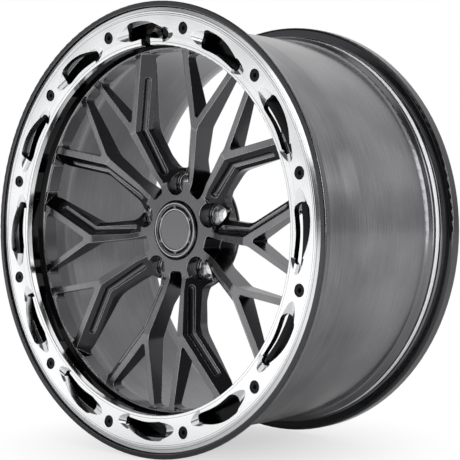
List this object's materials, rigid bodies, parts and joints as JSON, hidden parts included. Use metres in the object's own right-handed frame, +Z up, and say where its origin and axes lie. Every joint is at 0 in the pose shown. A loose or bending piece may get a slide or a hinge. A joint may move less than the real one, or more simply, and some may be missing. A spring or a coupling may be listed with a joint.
{
  "type": "forged wheel",
  "caption": "Deep one-piece forged car wheel with paired Y-shaped spokes, a bolted bright trim ring with milled windows, a bare hub cap and a tyre valve.",
  "frame": {"origin": "centre of the wheel, on the axle line midway across the rim's width", "axes": "+Y along the axle line towards the car, styled face towards -Y, +Z up through a lug hole and the valve"},
  "size_m": [0.542, 0.272, 0.5419],
  "materials": {
    "forged_wheel": "brushed, grey tinted clear coat",
    "trim_ring": "turned and polished",
    "ring_bolts": "black oxide steel",
    "hub_cap": "turned, dark anodised",
    "cap_seal": "moulded",
    "valve_stem": "nickel plated",
    "valve_grommet": "moulded",
    "valve_nut": "nickel plated",
    "valve_cap": "black anodised"
  },
  "bodies": {
    "root": {"forged_wheel": "forged_wheel", "trim_ring": "trim_ring", "ring_bolts": "ring_bolts", "hub_cap": "hub_cap", "cap_seal": "cap_seal", "valve_stem": "valve_stem", "valve_grommet": "valve_grommet", "valve_nut": "valve_nut", "valve_cap": "valve_cap"}
  },
  "joints": []
}
